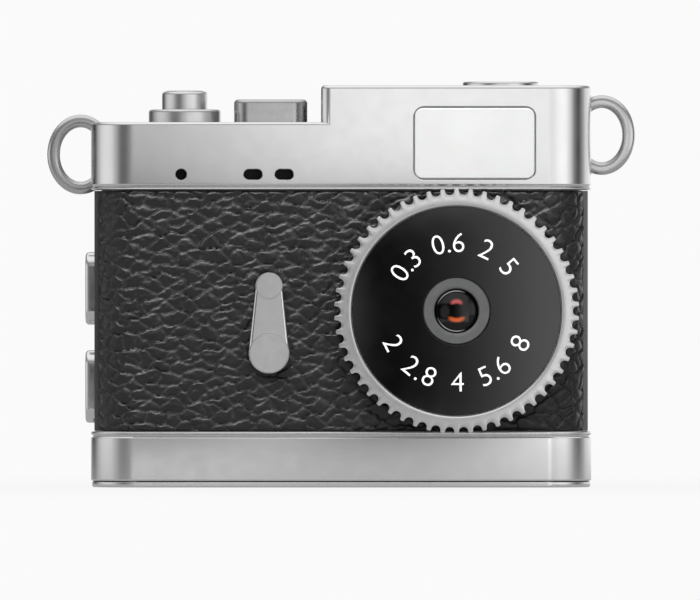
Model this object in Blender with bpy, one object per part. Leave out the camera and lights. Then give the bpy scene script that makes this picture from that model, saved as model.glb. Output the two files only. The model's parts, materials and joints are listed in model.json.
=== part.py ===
"""A miniature digital camera in the style of a leather-covered rangefinder.

Sizes are in millimetres and meshes in metres. +Z is up and the front faces -Y. The origin is the
centre of the base plate's lower face.
"""

import math

import bmesh
import bpy
from mathutils import Vector

MM = 0.001

# Covers and frame
COVER_WIDTH = 45.0
COVER_DEPTH = 14.4
COVER_CORNER = 4.0
BASE_TOP = 0.5
BOTTOM_COVER = (0.57, 5.0)
TOP_COVER = (26.75, 36.1)
SHOULDER_TOP = 32.8
HOUSING_LEFT = -1.8
HOUSING_CORNER = 0.9
ROOF = 0.9
FRAME_WIDTH = 43.0
FRAME_DEPTH = 12.9
FRAME_CORNER = 3.0
FRAME_WALL = 1.1
FRAME_HEIGHTS = (1.45, 27.15)
FIT = 0.05
LEATHER = 0.45
SIDE_BAND_X = 22.2
SIDE_BAND_Y = 3.2
SIDE_BAND_TOP = 26.65
SCREW_X = 18.6
SCREW_Y = 4.0

# Lens and focus ring
LENS_X = 10.35
LENS_Z = 15.84
RING_TEETH = 54
RING_TIP = 10.98
RING_ROOT = 10.4
RING_FRONT = -10.6
RING_BACK = -7.35
DIAL_RADIUS = 9.35
DIAL_FRONT = -10.3
DIAL_BACK = -9.55
BARREL_RADIUS = 3.0
BARREL_FRONT = -10.25
BARREL_BACK = -4.9
GLASS_RADIUS = 2.03

# Timer lever
LEVER_X = -6.46
LEVER_PIVOT_Z = 12.06
LEVER_TIP_Z = 18.1
LEVER_BIG = 1.88
LEVER_SMALL = 1.22
LEVER_FRONT = -7.95
LEVER_BACK = -7.05
PIVOT_CAP = 1.74
TIP_CAP = 1.14

# Buttons on top
SHUTTER_X = -14.1
MODE_X = -6.35
POWER_X = 14.4
TOP_BOARD = (28.9, 29.6)
SWITCH_HEIGHT = 1.0

# Side buttons
SIDE_BUTTON_HEIGHT = 6.55
SIDE_BUTTON_DEPTH = 2.6
SIDE_BUTTON_Z = {"upper": 17.875, "lower": 9.025}
SIDE_BOARD_X = -17.6

# Light window, microphone hole and indicator slots
WINDOW_X = 12.0
WINDOW_Z = 30.9
WINDOW_WIDTH = 10.8
WINDOW_HEIGHT = 6.4
MICROPHONE_X = -14.35
SLOT_X = {"left": -7.9, "right": -5.1}
FRONT_HOLES_Z = 28.1

# Strap loops: the centre of each ellipse and its half sizes
LOOP_X = 23.5
LOOP_Z = {"left": 29.95, "right": 31.7}
LOOP_HALF_WIDTH = 3.0
LOOP_HALF_HEIGHT = 3.6
LOOP_BAND = 1.15
LOOP_THICKNESS = 1.2
LOOP_END_X = 21.3

# Inside
MAIN_BOARD = (2.6, 3.4)
CARD = {"z": (14.7, 25.7), "y": (1.4, 2.15), "x": (7.1, 22.1)}

# Finishes: colour, roughness, metallic
SATIN_PLATE = ((0.62, 0.62, 0.62), 0.32, 1.0)
BRIGHT_PLATE = ((0.72, 0.72, 0.72), 0.25, 1.0)
FROSTED = ((0.86, 0.87, 0.87), 0.45, 0.0)
BLACK_LEATHER = ((0.018, 0.018, 0.019), 0.55, 0.0)
BLACK_GLOSS = ((0.01, 0.01, 0.011), 0.15, 0.0)
CHARCOAL = ((0.05, 0.05, 0.052), 0.6, 0.0)
BLACK_PLASTIC = ((0.02, 0.02, 0.02), 0.5, 0.0)
GLASS = ((0.25, 0.05, 0.03), 0.05, 0.0)
GREEN_BOARD = ((0.02, 0.16, 0.07), 0.4, 0.0)
CHIP = ((0.03, 0.03, 0.035), 0.45, 0.0)
FOIL = ((0.45, 0.46, 0.48), 0.4, 0.6)
GOLD = ((0.7, 0.5, 0.2), 0.3, 1.0)
LAMP = ((0.8, 0.8, 0.7), 0.2, 0.0)


def clear_scene():
    for ob in list(bpy.data.objects):
        bpy.data.objects.remove(ob)


def material(name, finish):
    colour, roughness, metallic = finish
    made = bpy.data.materials.new(name)
    made.use_nodes = True
    shader = made.node_tree.nodes["Principled BSDF"]
    shader.inputs["Base Color"].default_value = (*colour, 1)
    shader.inputs["Roughness"].default_value = roughness
    shader.inputs["Metallic"].default_value = metallic
    return made


def at(axis, u, v, w):
    """The point whose place along axis is w. u and v are the other two, in X, Y, Z order."""
    return {"X": (w, u, v), "Y": (u, w, v), "Z": (u, v, w)}[axis]


def solid(name, rings, finish, pivot=(0, 0, 0), closed=False):
    """A solid through equal rings of points, capped at both ends, or closed round on itself."""
    mesh = bmesh.new()
    rows = [[mesh.verts.new((Vector(p) - Vector(pivot)) * MM) for p in ring] for ring in rings]
    pairs = list(zip(rows, rows[1:]))
    if closed:
        pairs.append((rows[-1], rows[0]))
    else:
        mesh.faces.new(rows[0])
        mesh.faces.new(rows[-1])
    for low, high in pairs:
        for i in range(len(low)):
            j = (i + 1) % len(low)
            mesh.faces.new((low[i], low[j], high[j], high[i]))
    return finished(name, mesh, finish, pivot)


def finished(name, mesh, finish, pivot):
    bmesh.ops.recalc_face_normals(mesh, faces=mesh.faces)
    data = bpy.data.meshes.new(name)
    mesh.to_mesh(data)
    mesh.free()
    data.shade_smooth()
    data.set_sharp_from_angle(angle=math.radians(35))
    data.materials.append(material(name, finish))
    ob = bpy.data.objects.new(name, data)
    ob.location = Vector(pivot) * MM
    bpy.context.scene.collection.objects.link(ob)
    return ob


def rounded(width, height, corner, centre=(0, 0), steps=4):
    """A rectangle with round corners. The result is a function of an inset."""

    def outline(inset=0):
        radius = max(corner - inset, 0.02)
        half_u = width / 2 - inset - radius
        half_v = height / 2 - inset - radius
        points = []
        for quarter, (su, sv) in enumerate(((1, 1), (-1, 1), (-1, -1), (1, -1))):
            for step in range(steps + 1):
                angle = math.pi / 2 * (quarter + step / steps)
                u = centre[0] + su * half_u + radius * math.cos(angle)
                v = centre[1] + sv * half_v + radius * math.sin(angle)
                points.append((u, v))
        return points

    return outline


def disc(radius, centre=(0, 0), count=20):
    def outline(inset=0):
        turns = [math.tau * i / count for i in range(count)]
        size = radius - inset
        return [(centre[0] + size * math.cos(t), centre[1] + size * math.sin(t)) for t in turns]

    return outline


def box_outline(low, high):
    """A sharp rectangle between two corners. It takes no inset."""
    points = [(low[0], low[1]), (high[0], low[1]), (high[0], high[1]), (low[0], high[1])]
    return lambda inset=0: points


def block(name, axis, outline, levels, finish, pivot=(0, 0, 0)):
    """An outline carried along an axis. Each level is a place and an inset there."""
    rings = [[at(axis, u, v, w) for u, v in outline(inset)] for w, inset in levels]
    return solid(name, rings, finish, pivot)


def slab(name, axis, outline, low, high, finish, pivot=(0, 0, 0), edge=0.1):
    """A block with a small chamfer round both ends."""
    levels = [(low, edge), (low + edge, 0), (high - edge, 0), (high, edge)]
    return block(name, axis, outline, levels, finish, pivot)


def box(name, low, high, finish, pivot=(0, 0, 0)):
    outline = box_outline(low[:2], high[:2])
    return block(name, "Z", outline, [(low[2], 0), (high[2], 0)], finish, pivot)


def turned(name, axis, centre, profile, finish, pivot=(0, 0, 0), count=20):
    """A hollow turned piece: a closed profile of radius and place along the axis."""
    rings = [[at(axis, u, v, w) for u, v in disc(radius, centre, count)()] for radius, w in profile]
    return solid(name, rings, finish, pivot, closed=True)


def combine(target, tool, operation="DIFFERENCE"):
    tool.hide_render = True
    tool.display_type = "WIRE"
    change = target.modifiers.new(tool.name, "BOOLEAN")
    change.operation = operation
    change.object = tool
    change.solver = "EXACT"


def cutter(name, axis, outline, low, high):
    return block(name, axis, outline, [(low, 0), (high, 0)], CHARCOAL)


def corners(x, y):
    return [(side_x * x, side_y * y) for side_x in (-1, 1) for side_y in (-1, 1)]


def loop_ring(name, side, grow, finish):
    """An elliptical strap loop, open where its two legs end inside the cover's wall."""
    sign = {"left": -1, "right": 1}[side]
    end_x = LOOP_END_X - 2 * grow
    half_width = LOOP_HALF_WIDTH - LOOP_BAND / 2
    half_height = LOOP_HALF_HEIGHT - LOOP_BAND / 2
    first = math.acos((end_x - LOOP_X) / half_width)
    band = LOOP_BAND / 2 + grow
    thick = LOOP_THICKNESS / 2 + grow
    bevel = 0.22
    section = [
        (band, thick - bevel),
        (band - bevel, thick),
        (bevel - band, thick),
        (-band, thick - bevel),
        (-band, bevel - thick),
        (bevel - band, -thick),
        (band - bevel, -thick),
        (band, bevel - thick),
    ]
    rings = []
    steps = 18
    for step in range(steps + 1):
        angle = -first + 2 * first * step / steps
        ring = []
        for out, y in section:
            x = LOOP_X + (half_width + out) * math.cos(angle)
            z = LOOP_Z[side] + (half_height + out) * math.sin(angle)
            ring.append((sign * x, y, z))
        rings.append(ring)
    return solid(name, rings, finish)


def base_plate():
    outline = rounded(COVER_WIDTH, COVER_DEPTH, COVER_CORNER)
    levels = [(0, 0.25), (0.15, 0.1), (BASE_TOP, 0.1)]
    plate = block("base_plate", "Z", outline, levels, SATIN_PLATE)
    for number, place in enumerate(corners(SCREW_X, SCREW_Y), 1):
        levels = [(-1, 0), (0.35, 0), (0.35, 0.55), (1, 0.55)]
        hole = block(f"plate_hole_{number}", "Z", disc(1.15, place, 16), levels, CHARCOAL)
        combine(plate, hole)
        levels = [(0.05, 0), (0.3, 0), (0.3, 0.6), (4.0, 0.6), (4.4, 0.9)]
        block(f"base_screw_{number}", "Z", disc(1.1, place, 12), levels, BRIGHT_PLATE)


def bottom_cover():
    low, high = BOTTOM_COVER
    outline = rounded(COVER_WIDTH, COVER_DEPTH, COVER_CORNER)
    levels = [(low, 0.12), (low + 0.12, 0), (high - 0.12, 0), (high, 0.12)]
    cover = block("bottom_cover", "Z", outline, levels, SATIN_PLATE)
    room = rounded(FRAME_WIDTH + 2 * FIT, FRAME_DEPTH + 2 * FIT, FRAME_CORNER + FIT)
    combine(cover, cutter("bottom_cover_room", "Z", room, 1.4, high + 1))
    for number, place in enumerate(corners(SCREW_X, SCREW_Y), 1):
        hole = cutter(f"cover_hole_{number}", "Z", disc(0.6, place, 16), 0, 2)
        combine(cover, hole)


def frame_additions():
    """The silver bands on the sides and the four screw bosses, as separate boxes in one mesh."""
    boxes = []
    for side in (-1, 1):
        ends = sorted((side * 21.2, side * SIDE_BAND_X))
        boxes.append(((ends[0], -SIDE_BAND_Y, 5.06), (ends[1], SIDE_BAND_Y, SIDE_BAND_TOP)))
    for side_x, side_y in corners(1, 1):
        ends_x = sorted((side_x * 17.0, side_x * 20.5))
        ends_y = sorted((side_y * 2.6, side_y * 5.45))
        boxes.append(((ends_x[0], ends_y[0], 1.5), (ends_x[1], ends_y[1], 5.5)))
    mesh = bmesh.new()
    for low, high in boxes:
        rows = []
        for z in (low[2], high[2]):
            flat = box_outline(low[:2], high[:2])()
            rows.append([mesh.verts.new(Vector((x, y, z)) * MM) for x, y in flat])
        mesh.faces.new(rows[0])
        mesh.faces.new(rows[1])
        for i in range(4):
            j = (i + 1) % 4
            mesh.faces.new((rows[0][i], rows[0][j], rows[1][j], rows[1][i]))
    return finished("frame_additions", mesh, CHARCOAL, (0, 0, 0))


def body_frame():
    low, high = FRAME_HEIGHTS
    outline = rounded(FRAME_WIDTH, FRAME_DEPTH, FRAME_CORNER)
    levels = [(low, 0), (high, 0), (high, FRAME_WALL), (low, FRAME_WALL)]
    rings = [[at("Z", u, v, w) for u, v in outline(inset)] for w, inset in levels]
    frame = solid("body_frame", rings, SATIN_PLATE, closed=True)
    combine(frame, frame_additions(), "UNION")
    for number, place in enumerate(corners(SCREW_X, SCREW_Y), 1):
        combine(frame, cutter(f"boss_hole_{number}", "Z", disc(0.55, place, 16), 1, 4.9))
    lens_opening = disc(4.2, (LENS_X, LENS_Z), 24)
    combine(frame, cutter("lens_opening", "Y", lens_opening, -8, -4))
    pin_hole = disc(0.8, (LEVER_X, LEVER_PIVOT_Z), 16)
    combine(frame, cutter("pin_hole", "Y", pin_hole, -8, -4))
    for side, z in SIDE_BUTTON_Z.items():
        pill = side_button_outline(z, 0.07)
        combine(frame, cutter(f"side_hole_{side}", "X", pill, -23, -19))
    combine(frame, cutter("usb_opening", "X", rounded(2.85, 7.75, 0.6, (1.25, 9.75)), 19, 23))
    card_y = (CARD["y"][0] + CARD["y"][1]) / 2
    card_z = (CARD["z"][0] + CARD["z"][1]) / 2
    combine(frame, cutter("card_opening", "X", rounded(1.05, 11.2, 0.2, (card_y, card_z)), 19, 23))
    combine(frame, cutter("status_hole", "Y", disc(0.65, (-15, 22), 16), 4, 8))


def wrap_outline(side):
    """A leather panel's plan: along the face and round both corners, up to the silver bands."""
    outer_x = FRAME_WIDTH / 2 + LEATHER
    outer_y = FRAME_DEPTH / 2 + LEATHER
    radius = FRAME_CORNER + LEATHER
    end_y = SIDE_BAND_Y + 0.08
    steps = 6

    def path(inset):
        points = [(-outer_x + inset, side * end_y)]
        for step in range(steps + 1):
            angle = math.pi / 2 * step / steps
            x = -(outer_x - radius) - (radius - inset) * math.cos(angle)
            y = outer_y - radius + (radius - inset) * math.sin(angle)
            points.append((x, side * y))
        return points + [(-x, y) for x, y in reversed(points)]

    ring = path(0) + path(LEATHER - 0.03)[::-1]
    return lambda inset=0: ring


def leatherette():
    heights = (BOTTOM_COVER[1] + 0.08, TOP_COVER[0] - 0.08)
    front = cutter("front_leatherette", "Z", wrap_outline(-1), *heights)
    back = cutter("back_leatherette", "Z", wrap_outline(1), *heights)
    for panel in (front, back):
        panel.data.materials.clear()
        panel.data.materials.append(material(panel.name, BLACK_LEATHER))
    mount_hole = disc(8.62, (LENS_X, LENS_Z), 32)
    combine(front, cutter("leather_mount_hole", "Y", mount_hole, -8, -6))
    pin_hole = disc(0.85, (LEVER_X, LEVER_PIVOT_Z), 16)
    combine(front, cutter("leather_pin_hole", "Y", pin_hole, -8, -6))
    combine(back, cutter("leather_status_hole", "Y", disc(0.7, (-15, 22), 16), 6, 8))


def shoulder_cutter():
    """The space above the low shoulder, with the housing's two rounded vertical corners."""
    left = -COVER_WIDTH / 2 - 1
    face = COVER_DEPTH / 2
    middle = HOUSING_LEFT + HOUSING_CORNER
    points = [(left, -face - 1), (middle, -face - 1)]
    steps = 5
    for side in (-1, 1):
        arc = []
        for step in range(steps + 1):
            angle = math.pi / 2 * step / steps
            x = middle - HOUSING_CORNER * math.sin(angle)
            y = side * (face - HOUSING_CORNER + HOUSING_CORNER * math.cos(angle))
            arc.append((x, y))
        points += arc if side < 0 else arc[::-1]
    points += [(middle, face + 1), (left, face + 1)]
    return cutter("shoulder_space", "Z", lambda inset=0: points, SHOULDER_TOP, TOP_COVER[1] + 1)


def top_cover():
    low, high = TOP_COVER
    outline = rounded(COVER_WIDTH, COVER_DEPTH, COVER_CORNER)
    levels = [(low, 0.1), (low + 0.1, 0), (high - 0.35, 0), (high - 0.1, 0.1), (high, 0.35)]
    cover = block("top_cover", "Z", outline, levels, SATIN_PLATE)
    combine(cover, shoulder_cutter())
    room = rounded(FRAME_WIDTH + 2 * FIT, FRAME_DEPTH + 2 * FIT, FRAME_CORNER + FIT)
    combine(cover, cutter("top_cover_room", "Z", room, low - 1, SHOULDER_TOP - ROOF))
    housing_left = HOUSING_LEFT + ROOF
    housing_right = 21.5
    middle = (housing_left + housing_right) / 2
    room = rounded(housing_right - housing_left, 12.9, 3.0, (middle, 0))
    combine(cover, cutter("housing_room", "Z", room, 31, high - ROOF))
    combine(cover, cutter("shutter_bore", "Z", disc(2.13, (SHUTTER_X, 0), 24), 31, 34))
    mode_hole = rounded(6.76, 4.56, 1.38, (MODE_X, 0))
    combine(cover, cutter("mode_bore", "Z", mode_hole, 31, 34))
    combine(cover, cutter("power_bore", "Z", disc(3.53, (POWER_X, 0), 32), 34.6, 37))
    microphone_hole = disc(0.5, (MICROPHONE_X, FRONT_HOLES_Z), 20)
    combine(cover, cutter("microphone_hole", "Y", microphone_hole, -8, -5))
    for side, x in SLOT_X.items():
        slot = rounded(1.67, 0.95, 0.47, (x, FRONT_HOLES_Z), 4)
        combine(cover, cutter(f"slot_{side}", "Y", slot, -8, -5))
    window = rounded(WINDOW_WIDTH + 0.5, WINDOW_HEIGHT + 0.5, 0.95, (WINDOW_X, WINDOW_Z))
    combine(cover, cutter("window_opening", "Y", window, -8, -5))
    for side in LOOP_Z:
        combine(cover, loop_ring(f"loop_slot_{side}", side, FIT, CHARCOAL))


def strap_loops():
    for side in LOOP_Z:
        loop_ring(f"strap_loop_{side}", side, 0, BRIGHT_PLATE)


def window():
    outline = rounded(WINDOW_WIDTH, WINDOW_HEIGHT, 0.75, (WINDOW_X, WINDOW_Z))
    levels = [(-7.12, 0.12), (-7.0, 0), (-6.43, 0), (-6.43, -0.4), (-6.05, -0.4)]
    pane = block("light_window", "Y", outline, levels, FROSTED)
    trim = cutter("window_trim", "Z", box_outline((0, -8), (25, -4)), 26, 27.25)
    combine(pane, trim)
    board = ((7.0, -4.7, 28.0), (17.0, -4.1, 34.0))
    box("window_light_board", *board, GREEN_BOARD)
    lamp = rounded(3.5, 2.8, 0.3, (WINDOW_X, WINDOW_Z), 3)
    slab("window_lamp", "Y", lamp, -5.5, -4.75, LAMP)


def front_indicators():
    capsule = disc(0.85, (MICROPHONE_X, FRONT_HOLES_Z), 20)
    slab("microphone", "Y", capsule, -6.2, -4.2, CHARCOAL)
    for side, x in SLOT_X.items():
        body = rounded(2.2, 1.3, 0.3, (x, FRONT_HOLES_Z + 0.05), 3)
        slab(f"indicator_lamp_{side}", "Y", body, -6.2, -4.2, BLACK_GLOSS)


def top_buttons():
    pivot = (SHUTTER_X, 0, 33)
    profile = [(2.2, 32.85), (2.2, 33.9), (2.3, 34.0), (3.0, 34.0), (3.25, 33.75), (3.25, 32.85)]
    turned("shutter_collar", "Z", pivot[:2], profile, BRIGHT_PLATE, pivot, 28)
    levels = [(31.2, -0.55), (31.7, -0.55), (31.7, 0), (35.4, 0), (35.62, 0.1), (35.7, 0.35)]
    block("shutter_button", "Z", disc(2.05, pivot[:2], 24), levels, BRIGHT_PLATE, pivot)
    pivot = (MODE_X, 0, 33)
    levels = [(31.2, -0.5), (31.7, -0.5), (31.7, 0), (34.6, 0), (34.9, 0.3)]
    outline = rounded(6.6, 4.4, 1.3, pivot[:2])
    block("mode_button", "Z", outline, levels, SATIN_PLATE, pivot)
    pivot = (POWER_X, 0, 36)
    outline = disc(3.45, pivot[:2], 32)
    levels = [(31.1, 2.4), (34.3, 2.4), (34.3, -0.4), (34.8, -0.4), (34.8, 0)]
    levels += [(36.35, 0), (36.5, 0.15)]
    block("power_button", "Z", outline, levels, SATIN_PLATE, pivot)


def switch(name, axis, centre, place, direction):
    """A push switch: a square body with a round plunger, facing along the direction."""
    square = rounded(3.0, 3.0, 0.2, centre, 2)
    circle = disc(0.8, centre, 12)
    body = SWITCH_HEIGHT - 0.25
    levels = [(square, 0), (square, body), (circle, body), (circle, SWITCH_HEIGHT)]
    rings = []
    for outline, rise in levels:
        rings.append([at(axis, u, v, place + direction * rise) for u, v in outline()])
    solid(name, rings, CHIP)


def top_board():
    low, high = TOP_BOARD
    slab("top_board", "Z", rounded(39.0, 9.0, 0.8, (0, 0.5), 3), low, high, GREEN_BOARD, edge=0.05)
    for name, x in (("shutter", SHUTTER_X), ("mode", MODE_X), ("power", POWER_X)):
        switch(f"{name}_switch", "Z", (x, 0), high + FIT, 1)
    profile = [(0.5, 29.65), (2.9, 29.65), (2.9, 31.3), (0.5, 31.3)]
    turned("buzzer", "Z", (2.6, 0.8), profile, CHIP, count=24)


def side_button_outline(z, grow=0.0):
    height = SIDE_BUTTON_HEIGHT + 2 * grow
    depth = SIDE_BUTTON_DEPTH + 2 * grow
    return rounded(depth, height, depth / 2, (0, z), 5)


def side_buttons():
    for side, z in SIDE_BUTTON_Z.items():
        outline = side_button_outline(z)
        pivot = (-22, 0, z)
        levels = [(-23.05, 0.25), (-22.97, 0.1), (-22.8, 0), (-20.33, 0)]
        levels += [(-20.33, -0.4), (-19.9, -0.4)]
        block(f"side_button_{side}", "X", outline, levels, BRIGHT_PLATE, pivot)
        switch(f"side_switch_{side}", "X", (0, z), SIDE_BOARD_X - 0.6 - FIT, -1)
    low = (SIDE_BOARD_X - 0.6, -2.2, 5.8)
    high = (SIDE_BOARD_X, 2.2, 21.4)
    box("side_switch_board", low, high, GREEN_BOARD)


def gear_outline(tip, root):
    """Round valleys between narrow flat-topped teeth. A tooth stands at the top."""
    points = []
    for tooth in range(RING_TEETH):
        middle = math.pi / 2 + math.tau * tooth / RING_TEETH
        for radius, turn in ((tip, -0.18), (tip, 0.18), (root, 0.5)):
            angle = middle + math.tau * turn / RING_TEETH
            points.append((LENS_X + radius * math.cos(angle), LENS_Z + radius * math.sin(angle)))
    return points


def toothed_ring():
    count = RING_TEETH * 3
    centre = (LENS_X, LENS_Z)

    def circle(radius):
        points = disc(radius, centre, count)()
        start = round(count / 4)
        return points[start:] + points[:start]

    levels = [
        (gear_outline(RING_TIP, RING_ROOT), RING_BACK),
        (gear_outline(RING_TIP, RING_ROOT), RING_FRONT + 0.3),
        (gear_outline(RING_TIP - 0.3, RING_ROOT - 0.2), RING_FRONT),
        (circle(9.4), RING_FRONT),
        (circle(9.4), DIAL_BACK + 0.05),
        (circle(8.6), DIAL_BACK + 0.05),
        (circle(8.6), RING_BACK),
    ]
    rings = [[at("Y", u, v, w) for u, v in points] for points, w in levels]
    solid("toothed_ring", rings, SATIN_PLATE, (LENS_X, RING_BACK, LENS_Z), closed=True)


def lens():
    centre = (LENS_X, LENS_Z)
    pivot = (LENS_X, RING_BACK, LENS_Z)
    toothed_ring()
    profile = [(3.05, DIAL_BACK), (3.05, DIAL_FRONT), (DIAL_RADIUS, DIAL_FRONT)]
    profile.append((DIAL_RADIUS, DIAL_BACK))
    turned("dial_face", "Y", centre, profile, BLACK_GLOSS, pivot, 40)
    profile = [
        (GLASS_RADIUS, BARREL_FRONT),
        (GLASS_RADIUS, BARREL_FRONT + 0.5),
        (2.35, BARREL_FRONT + 0.5),
        (2.35, BARREL_BACK),
        (BARREL_RADIUS, BARREL_BACK),
        (BARREL_RADIUS, BARREL_FRONT),
    ]
    turned("lens_barrel", "Y", centre, profile, CHARCOAL, pivot)
    glass = disc(2.28, centre, 20)
    front = [(-9.68, 1.2), (-9.6, 0.45), (-9.5, 0), (-8.9, 0), (-8.75, 0.8), (-8.7, 1.5)]
    block("front_lens_element", "Y", glass, front, GLASS, pivot)
    profile = [(1.3, -8.6), (2.3, -8.6), (2.3, -7.2), (1.3, -7.2)]
    turned("lens_spacer", "Y", centre, profile, CHARCOAL, pivot, 20)
    rear = [(-7.1, 1.5), (-7.0, 0.8), (-6.85, 0), (-6.2, 0), (-6.05, 0.8), (-6.0, 1.5)]
    block("rear_lens_element", "Y", glass, rear, GLASS, pivot)


def lens_support():
    centre = (LENS_X, LENS_Z)
    profile = [(4.2, -6.5), (4.2, -7.1), (7.7, -7.1), (7.7, -9.4), (8.5, -9.4), (8.5, -6.5)]
    turned("lens_mount", "Y", centre, profile, CHARCOAL, count=32)
    profile = [(8.8, -7.0), (8.8, -7.25), (10.0, -7.25), (10.0, -7.0)]
    turned("ring_washer", "Y", centre, profile, BRIGHT_PLATE, count=32)
    profile = [
        (3.06, -6.9),
        (3.06, -4.5),
        (2.0, -4.5),
        (2.0, -4.15),
        (2.6, -4.15),
        (2.6, -3.15),
        (4.1, -3.15),
        (4.1, -6.9),
    ]
    turned("lens_holder", "Y", centre, profile, BLACK_PLASTIC)
    filter_glass = rounded(3.4, 3.4, 0.2, centre, 2)
    block("infrared_filter", "Y", filter_glass, [(-4.1, 0), (-3.8, 0)], GLASS)
    block("image_sensor", "Y", rounded(3.6, 2.9, 0.1, centre, 2), [(-3.7, 0), (-3.15, 0)], CHIP)
    board = rounded(12.3, 12.3, 0.6, centre, 3)
    slab("lens_board", "Y", board, -3.1, -2.5, GREEN_BOARD, edge=0.05)


def lever_outline(inset=0):
    """Two round ends of unequal size joined by straight tapered sides."""
    length = LEVER_TIP_Z - LEVER_PIVOT_Z
    lean = math.asin((LEVER_BIG - LEVER_SMALL) / length)
    ends = (
        (LEVER_TIP_Z, LEVER_SMALL - inset, lean, math.pi - lean),
        (LEVER_PIVOT_Z, LEVER_BIG - inset, math.pi - lean, math.tau + lean),
    )
    steps = 12
    points = []
    for z, radius, first, last in ends:
        for step in range(steps + 1):
            angle = first + (last - first) * step / steps
            points.append((LEVER_X + radius * math.cos(angle), z + radius * math.sin(angle)))
    return points


def timer_lever():
    pivot = (LEVER_X, LEVER_BACK, LEVER_PIVOT_Z)
    centre = (LEVER_X, LEVER_PIVOT_Z)
    levels = [(LEVER_BACK, 0), (LEVER_FRONT + 0.25, 0), (LEVER_FRONT, 0.2)]
    lever = block("timer_lever", "Y", lever_outline, levels, SATIN_PLATE, pivot)
    combine(lever, cutter("lever_hole", "Y", disc(0.8, centre, 16), -9, -6))
    cap = disc(PIVOT_CAP, centre, 24)
    levels = [(-8.2, 0.15), (-8.1, 0), (-8.0, 0)]
    block("lever_pivot_cap", "Y", cap, levels, BRIGHT_PLATE, pivot)
    cap = disc(TIP_CAP, (LEVER_X, LEVER_TIP_Z), 24)
    block("lever_tip_cap", "Y", cap, levels, BRIGHT_PLATE, pivot)
    pin = disc(0.74, centre, 16)
    levels = [(-7.9, 0), (-5.3, 0), (-5.3, -0.5), (-4.8, -0.5)]
    block("lever_pin", "Y", pin, levels, BRIGHT_PLATE, pivot)


def electronics():
    low, high = MAIN_BOARD
    outline = rounded(37.0, 20.0, 0.8, (1.7, 16.0), 3)
    slab("main_board", "Y", outline, low, high, GREEN_BOARD, edge=0.05)
    chip = rounded(7.0, 7.0, 0.3, (-10.5, 16.5), 2)
    slab("processor", "Y", chip, 1.6, low - FIT, CHIP)
    chip = rounded(5.0, 6.0, 0.2, (-2.0, 16.5), 2)
    slab("memory_chip", "Y", chip, 1.7, low - FIT, CHIP)
    cell = rounded(16.0, 18.6, 0.9, (-8.9, 16.0), 4)
    slab("battery", "Y", cell, -4.5, -0.6, FOIL, edge=0.4)
    slab("status_lamp", "Y", disc(0.58, (-15, 22), 16), 4.2, 6.8, LAMP)


def sockets():
    low, high = MAIN_BOARD
    outline = rounded(2.6, 7.5, 0.5, (1.25, 9.75), 3)
    shell = cutter("usb_socket", "X", outline, 16.3, 21.9)
    shell.data.materials.clear()
    shell.data.materials.append(material("usb_socket", BRIGHT_PLATE))
    room = rounded(2.0, 6.9, 0.3, (1.25, 9.75), 3)
    combine(shell, cutter("usb_room", "X", room, 16.9, 23))
    box("usb_tongue", (16.95, 1.0, 7.6), (20.9, 1.6, 11.9), BLACK_PLASTIC)
    card_y, card_z, card_x = CARD["y"], CARD["z"], CARD["x"]
    box_low = (6.3, card_y[0] - 0.4, card_z[0] - 0.5)
    box_high = (20.3, low - FIT, card_z[1] + 0.5)
    socket = box("card_socket", box_low, box_high, BRIGHT_PLATE)
    room_low = (card_x[0] - 0.1, card_y[0] - 0.08, card_z[0] - 0.08)
    room_high = (22.0, card_y[1] + 0.08, card_z[1] + 0.08)
    combine(socket, box("card_room", room_low, room_high, CHARCOAL))
    card = rounded(card_x[1] - card_x[0], card_z[1] - card_z[0], 0.6, (14.6, 20.2), 3)
    pivot = (22.0, (card_y[0] + card_y[1]) / 2, 20.2)
    slab("memory_card", "Y", card, card_y[0], card_y[1], BLACK_PLASTIC, pivot, edge=0.08)


def build():
    clear_scene()
    base_plate()
    bottom_cover()
    body_frame()
    leatherette()
    top_cover()
    strap_loops()
    window()
    front_indicators()
    top_buttons()
    top_board()
    side_buttons()
    lens()
    lens_support()
    timer_lever()
    electronics()
    sockets()


build()
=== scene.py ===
"""The looks of a miniature rangefinder-style digital camera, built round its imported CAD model.

Shapes are worked out in millimetres and turned into metres when a piece is finished. +Z is up,
the front faces -Y, and +X is to the right seen from the front.
"""

import json
import math

import bmesh
import bpy
import numpy as np
from mathutils import Matrix, Vector

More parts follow.
